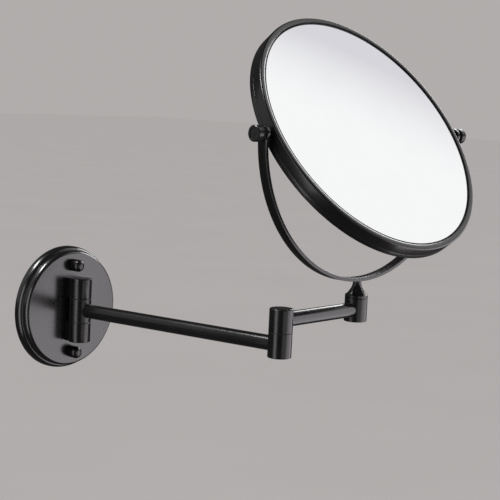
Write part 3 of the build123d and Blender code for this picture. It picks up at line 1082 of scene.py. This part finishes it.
@dataclass
class Knobs(SubAssembly):
    """Two short knurled knobs with recessed faces."""

    radius: float = 5.8 * MM
    hub_radius: float = 3.6 * MM
    hub_start: float = 110.2 * MM
    start: float = 112.2 * MM
    end: float = 117.5 * MM
    recess_radius: float = 3.9 * MM
    recess: float = 0.5 * MM
    button_radius: float = 1.2 * MM
    button: float = 0.35 * MM
    chamfer: float = 0.6 * MM
    teeth: int = 32
    tooth_depth: float = 0.25 * MM
    tooth_slope: float = 0.05 * MM
    soft_edge: float = 0.2 * MM
    face_edge: float = 0.15 * MM
    recess_edge: float = 0.1 * MM
    bore: float = 1.65 * MM
    bore_end: float = 115.6 * MM

    def build(self) -> None:
        """Build one knob, copy it for the other side and dress both washers."""
        left = self.turned_knob(Body.LEFT_KNOB.value)
        right = left.copied(Body.RIGHT_KNOB.value)
        for knob, body, turn in ((left, Body.LEFT_KNOB, ALONG_MINUS_X),
                                 (right, Body.RIGHT_KNOB, ALONG_X)):
            fit_out(knob.placed(self.rig.head @ turn), self.finishes.knob_paint, body, knob.name)
            dress_nodes(self.finishes.nylon, f"{knob.name}_washer")

    def turned_knob(self, name: str) -> Workpiece:
        """Turn a knob and knurl it.

        Args:
            name: the piece's name.

        Returns:
            The piece.
        """
        end, chamfer = self.end, self.chamfer
        floor = end - self.recess
        corners = [
            Corner(0.0, self.bore_end), Corner(self.bore, self.bore_end),
            Corner(self.bore, self.hub_start),
            Corner(self.hub_radius, self.hub_start, self.soft_edge),
            Corner(self.hub_radius, self.start, self.soft_edge),
            Corner(self.radius - chamfer, self.start),
            Corner(self.radius, self.start + chamfer), Corner(self.radius, end - chamfer),
            Corner(self.radius - chamfer, end, self.face_edge),
            Corner(self.recess_radius, end, self.recess_edge),
            Corner(self.recess_radius, floor), Corner(self.button_radius, floor),
            Corner(self.button_radius, floor + self.button, self.soft_edge),
            Corner(0.0, floor + self.button),
        ]
        knob = turned_shell(name, corners, sides=self.teeth * 4)
        self.knurl(knob)
        return knob

    def knurl(self, knob: Workpiece) -> None:
        """Press grooves between the teeth.

        Args:
            knob: the turned knob.
        """
        pitch = 2 * math.pi / self.teeth

        def in_groove(face: BMFace) -> bool:
            """Whether a face of the outer wall lies between two teeth."""
            middle = face.calc_center_median()
            angle = (math.atan2(middle.y, middle.x) / pitch) % 1.0
            outside = math.hypot(middle.x, middle.y) > self.radius - 0.1 * MM
            return outside and abs(face.normal.z) < 0.3 and angle < 0.5

        knob.pick(faces=in_groove)
        bpy.ops.mesh.inset(thickness=self.tooth_slope, depth=-self.tooth_depth)


# ---- studio


@dataclass
class Hung:
    """Something that hangs round the object, placed by the direction in which it is seen."""

    name: str
    aim: Place
    azimuth: float
    elevation: float
    distance: float

    def hang(self, obj: Object) -> None:
        """Place an object so that it looks at the aim, out of the camera's sight.

        Args:
            obj: the object.
        """
        turn, lift = math.radians(self.azimuth), math.radians(self.elevation)
        direction = Vector((math.cos(lift) * math.cos(turn), math.cos(lift) * math.sin(turn),
                            math.sin(lift)))
        obj.name = self.name
        obj.visible_camera = False
        obj.rotation_mode = "QUATERNION"
        obj.rotation_quaternion = direction.to_track_quat("Z", "Y")
        obj.location = Vector(self.aim) * MM + direction * self.distance


@dataclass
class Softbox(Hung):
    """One rectangular soft light."""

    width: float
    height: float
    radiance: float
    tint: Colour = (1.0, 1.0, 1.0)

    def build(self) -> None:
        """Make the light and hang it."""
        light = bpy.data.lights.new(self.name, "AREA")
        light.shape = "RECTANGLE"
        light.size, light.size_y = self.width, self.height
        light.energy = self.radiance * math.pi * self.width * self.height
        light.color = self.tint
        obj = bpy.data.objects.new(self.name, light)
        bpy.context.collection.objects.link(obj)
        self.hang(obj)


@dataclass
class FadedCard(Hung):
    """A large glowing card for the glass, softly dimmer towards one side."""

    size: float
    bright: Colour
    dim: Colour
    fade_start: float
    fade_end: float
    fade_turn: float

    def build(self) -> None:
        """Make the card and hang it."""
        deselect_all()
        bpy.ops.mesh.primitive_plane_add(size=self.size)
        card = bpy.context.object
        self.hang(card)
        graph = Graph.of_material(self.name)
        across, up = (graph.add("ShaderNodeSeparateXYZ", {}, {0: graph.place()}, axis)
                      for axis in (0, 1))
        lean = math.radians(self.fade_turn)
        along = across * math.cos(lean) + up * math.sin(lean)
        fade = graph.ramp(along, self.fade_start, self.fade_end)
        card.data.materials.append(graph.finish({
            "Base Color": (0.0, 0.0, 0.0, 1.0), "Roughness": 1.0, "Specular IOR Level": 0.0,
            "Emission Color": graph.mix(fade * fade, self.bright, self.dim),
            "Emission Strength": 1.0,
        }))


@dataclass
class Studio:
    """Floor, backdrop colour, lights and camera."""

    target: Place = (133.0, -79.9, 40.5)
    azimuth: float = math.radians(-49.35)
    elevation: float = math.radians(7.16)
    roll: float = math.radians(2.73)
    distance: float = 1.1057
    focal: float = 1335.2
    frame_width: float = 500.0
    sensor: float = 36.0
    rise: float = 6.85
    side: float = -0.3
    backdrop: Colour = (0.440, 0.419, 0.413)
    ambient: float = 0.10
    bounce: float = 1.24
    floor_size: float = 80.0
    floor_height: float = -1.2
    floor_grain: float = 0.8
    floor_dark: Colour = (0.80, 0.80, 0.80)
    floor_light: Colour = (0.82, 0.82, 0.82)

    def build(self) -> None:
        """Build everything around the object."""
        bpy.context.scene.view_settings.view_transform = "Standard"
        self.build_camera()
        self.build_floor()
        self.build_world()
        self.build_lights()

    def build_camera(self) -> None:
        """Place the camera."""
        data = bpy.data.cameras.new("camera")
        data.sensor_width = self.sensor
        data.lens = self.focal / self.frame_width * self.sensor
        data.shift_x = self.side / self.frame_width
        data.shift_y = self.rise / self.frame_width
        camera = bpy.data.objects.new("camera", data)
        bpy.context.collection.objects.link(camera)
        flat = math.cos(self.elevation)
        back = Vector((math.sin(self.azimuth) * flat, -math.cos(self.azimuth) * flat,
                       math.sin(self.elevation)))
        right = (-back).cross(Vector((0, 0, 1))).normalized()
        up = right.cross(-back)
        cos, sin = math.cos(self.roll), math.sin(self.roll)
        right, up = right * cos + up * sin, up * cos - right * sin
        camera.matrix_world = Matrix((right, up, back)).transposed().to_4x4()
        camera.location = Vector(self.target) * MM + back * self.distance
        bpy.context.scene.camera = camera

    def build_floor(self) -> None:
        """Lay a plain pale floor."""
        deselect_all()
        bpy.ops.mesh.primitive_plane_add(size=self.floor_size,
                                         location=(0.0, 0.0, self.floor_height))
        floor = bpy.context.object
        floor.name = "floor"
        graph = Graph.of_material("floor_paint")
        tone = graph.ramp(graph.noise(self.floor_grain), 0.3, 0.7)
        floor.data.materials.append(graph.finish({
            "Base Color": graph.mix(tone, self.floor_dark, self.floor_light),
            "Roughness": 0.8, "Specular IOR Level": 0.1,
        }))
        floor.visible_glossy = False

    def build_world(self) -> None:
        """Pale grey behind the object, and a dimmer room around it."""
        world = bpy.data.worlds.new("studio")
        bpy.context.scene.world = world
        graph = Graph(world, "ShaderNodeOutputWorld")
        shown, room, soft = (
            graph.add("ShaderNodeBackground", {},
                      {"Color": (*self.backdrop, 1.0), "Strength": strength})
            for strength in (1.0, self.ambient, self.bounce))
        diffuse, camera = (graph.add("ShaderNodeLightPath", {}, {}, ray)
                           for ray in ("Is Diffuse Ray", "Is Camera Ray"))
        lit = graph.add("ShaderNodeMixShader", {}, {0: diffuse, 1: room, 2: soft})
        graph.show(graph.add("ShaderNodeMixShader", {}, {0: camera, 1: lit, 2: shown}))

    def build_lights(self) -> None:
        """Hang the softboxes."""
        middle, mirror, plate = (50.0, -150.0, 10.0), (108.0, -208.0, 148.0), (0.0, -12.0, 20.0)
        lilac, warm = (1.0, 0.955, 1.0), (1.0, 0.96, 0.97)
        FadedCard("mirror_card", mirror, 340.7, 37.6, 1.3, 0.9, (0.990, 0.990, 0.990),
                  (0.715, 0.710, 0.750), -0.04, 0.19, 10.0).build()
        for box in (
            Softbox("right_wall", (18.0, -484.0, -215.0), 342.0, 0.0, 0.3, 0.64, 0.76, 1.8, lilac),
            Softbox("rim_card", (10.0, -210.0, 150.0), 13.0, 16.0, 0.7, 0.38, 0.28, 5.0),
            Softbox("left_strip", (20.0, -150.0, 0.0), 176.0, -4.0, 0.8, 0.4, 1.2, 1.6),
            Softbox("front_fill", middle, 260.0, -10.0, 0.9, 0.65, 0.6, 0.6, warm),
            Softbox("back_left_fill", middle, 130.0, 32.0, 1.0, 0.8, 1.1, 0.32),
            Softbox("top_lamp", plate, 145.0, 67.0, 1.1, 0.40, 0.18, 26.0),
        ):
            box.build()


def main() -> None:
    """Build the mirror and its studio."""
    logging.basicConfig(level=logging.INFO, format="%(name)s: %(message)s")
    rig = Rig.from_joints(frame["joints"], HEAD_TILT)
    finishes = Finishes()
    Studio().build()
    for assembly in (WallPlate, WallHinge, Arms, Swivel, Head, Knobs):
        assembly(finishes, rig).build()


if __name__ == "__main__":
    main()
